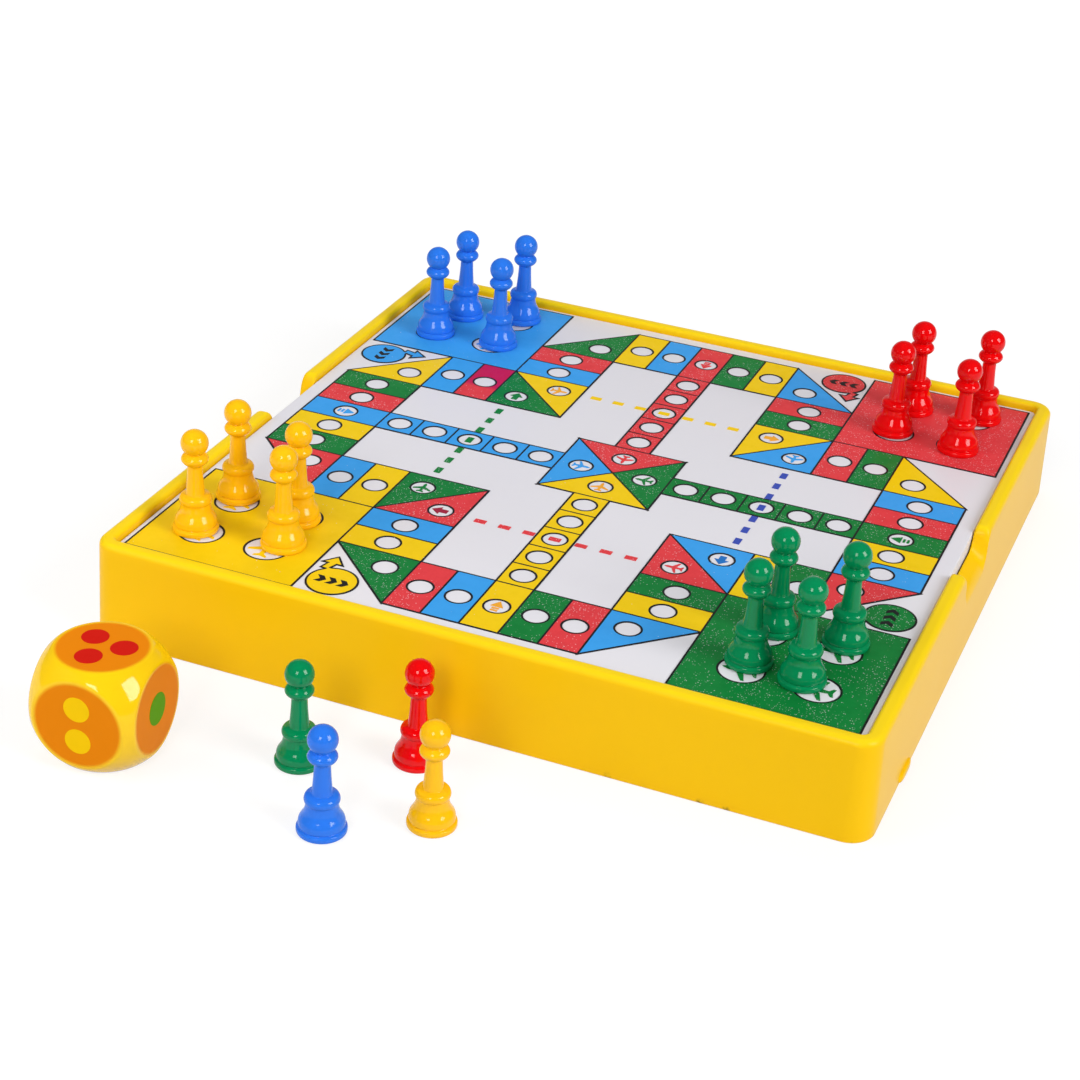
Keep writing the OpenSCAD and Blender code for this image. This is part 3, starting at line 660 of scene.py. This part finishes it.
studio = {
    "floorLevel": -0.0001, "floorSize": 6.0, "floorColour": (0.66, 0.66, 0.66, 1), "floorWhite": 0.55,
    "floorGlow": 1.35, "floorFade": (0.2, 0.5), "floorShare": 0.75, "floorGlint": 0.85,
    "ambient": 0.2, "glintNear": 0.1, "glintFar": 0.5, "backdrop": (0.8, 0.95), "white": (1, 1, 1, 1),
    "boxes": {  # only the two main boxes show as highlights
        "right": {"azimuth": 80, "elevation": 31.5, "distance": 2.2, "size": (0.92, 1.16), "watts": 32.0,
                  "glint": True},
        "left": {"azimuth": 1.5, "elevation": 34, "distance": 2.2, "size": (0.63, 0.83), "watts": 14.5,
                 "glint": True},
        "card": {"azimuth": -50, "elevation": 29, "distance": 0.72, "size": (0.5, 0.4), "watts": 2.1,
                 "glint": False},
        "back": {"azimuth": -160, "elevation": 55, "distance": 1.2, "size": (0.8, 0.6), "watts": 3.2,
                 "glint": False},
    },
}
shot = {"target": (-0.00228, -0.05278, 0.03), "azimuth": 20.286, "elevation": 28.63, "distance": 0.64908,
        "roll": 3.6953, "lens": 76.823, "sensor": 36.0, "clip": (0.01, 50)}


def aimed(azimuth, elevation):  # unit vector from the target towards the camera or a light
    a, e = math.radians(azimuth), math.radians(elevation)
    return Vector((math.sin(a) * math.cos(e), -math.cos(a) * math.cos(e), math.sin(e)))


def litRays(tree):  # rays that see the white background: the camera's own, and those off a glossy piece
    ray = addNode(tree, "LightPath")
    seen = mathNode(tree, "MAXIMUM", ray.outputs["Is Camera Ray"], ray.outputs["Is Transmission Ray"])
    return seen, ray.outputs["Is Glossy Ray"]


def makeFloor():
    mesh = bpy.data.meshes.new("floor")
    half, lines = studio["floorSize"] / 2, 5
    u, v = np.meshgrid(np.linspace(-half, half, lines), np.linspace(-half, half, lines))  # a flat grid
    points = np.stack([u, v, np.full_like(u, studio["floorLevel"])], -1).reshape(-1, 3)
    mesh.from_pydata(points.tolist(), [], gridFaces(lines, lines, False)[:, ::-1].tolist())
    material = bpy.data.materials.new("floorPale")
    material.use_nodes = True
    tree = material.node_tree
    tree.nodes.clear()
    seen, glossy = litRays(tree)
    place = addNode(tree, "TexCoord").outputs["Object"]
    away = addNode(tree, "VectorMath", {"operation": "LENGTH"}, i0=place).outputs["Value"]
    # to the camera the floor turns white away from the object, and glossy pieces show it at a level of its own
    share = mathNode(tree, "MULTIPLY", seen, ramp(tree, away, *studio["floorFade"], studio["floorWhite"], 1.0))
    share = mathNode(tree, "MAXIMUM", share, mathNode(tree, "MULTIPLY", glossy, studio["floorShare"]))
    level = mathNode(tree, "ADD", mathNode(tree, "MULTIPLY", seen, studio["floorGlow"]),
                     mathNode(tree, "MULTIPLY", glossy, studio["floorGlint"]))
    matte = addNode(tree, "BsdfDiffuse", Color=studio["floorColour"])
    white = addNode(tree, "Emission", Color=studio["white"], Strength=level)
    mix = addNode(tree, "MixShader", i0=share, i1=matte.outputs[0], i2=white.outputs[0])
    tree.links.new(mix.outputs[0], addNode(tree, "OutputMaterial").inputs["Surface"])
    mesh.materials.append(material)
    floor = bpy.data.objects.new("floor", mesh)
    bpy.context.scene.collection.objects.link(floor)


def makeWorld():
    world = bpy.data.worlds.new("studio")
    bpy.context.scene.world = world
    world.use_nodes = True
    tree = world.node_tree
    tree.nodes.clear()
    seen, glossy = litRays(tree)
    behind = -aimed(shot["azimuth"], 0)  # the white backdrop stands there, and the room in front is dimmer
    heading = addNode(tree, "TexCoord").outputs["Generated"]
    facing = addNode(tree, "VectorMath", {"operation": "DOT_PRODUCT"}, i0=heading, i1=behind).outputs["Value"]
    glint = ramp(tree, facing, *studio["backdrop"], studio["glintNear"], studio["glintFar"])
    shine = mathNode(tree, "MULTIPLY", glossy, mathNode(tree, "SUBTRACT", glint, studio["ambient"]))
    level = mathNode(tree, "MAXIMUM", seen, mathNode(tree, "ADD", shine, studio["ambient"]))
    soft = addNode(tree, "Background", Color=studio["white"], Strength=level)
    tree.links.new(soft.outputs[0], addNode(tree, "OutputWorld").inputs["Surface"])


def makeLights():
    target = Vector(shot["target"])
    for name, box in studio["boxes"].items():
        light = bpy.data.lights.new(name, "AREA")
        light.shape = "RECTANGLE"
        light.size, light.size_y = box["size"]
        light.energy = box["watts"]
        lamp = bpy.data.objects.new(name, light)
        lamp.visible_glossy = box["glint"]
        back = aimed(box["azimuth"], box["elevation"])
        lamp.location = target + back * box["distance"]
        lamp.rotation_euler = back.to_track_quat("Z", "Y").to_euler()
        bpy.context.scene.collection.objects.link(lamp)


def makeCamera():
    data = bpy.data.cameras.new("shot")
    data.sensor_width, data.lens = shot["sensor"], shot["lens"]
    data.clip_start, data.clip_end = shot["clip"]
    back = aimed(shot["azimuth"], shot["elevation"])
    right = (-back).cross(Vector((0, 0, 1))).normalized()
    up = right.cross(-back)
    roll = math.radians(shot["roll"])
    axisX = right * math.cos(roll) + up * math.sin(roll)
    axisY = up * math.cos(roll) - right * math.sin(roll)
    turned = Matrix((axisX, axisY, back)).transposed().to_4x4()
    camera = bpy.data.objects.new("shot", data)
    camera.matrix_world = Matrix.Translation(Vector(shot["target"]) + back * shot["distance"]) @ turned
    bpy.context.scene.collection.objects.link(camera)
    bpy.context.scene.camera = camera


makeFloor()
makeWorld()
makeLights()
makeCamera()
bpy.context.scene.view_settings.view_transform = "Standard"
print("studio: floor, world,", len(studio["boxes"]), "soft boxes and camera")
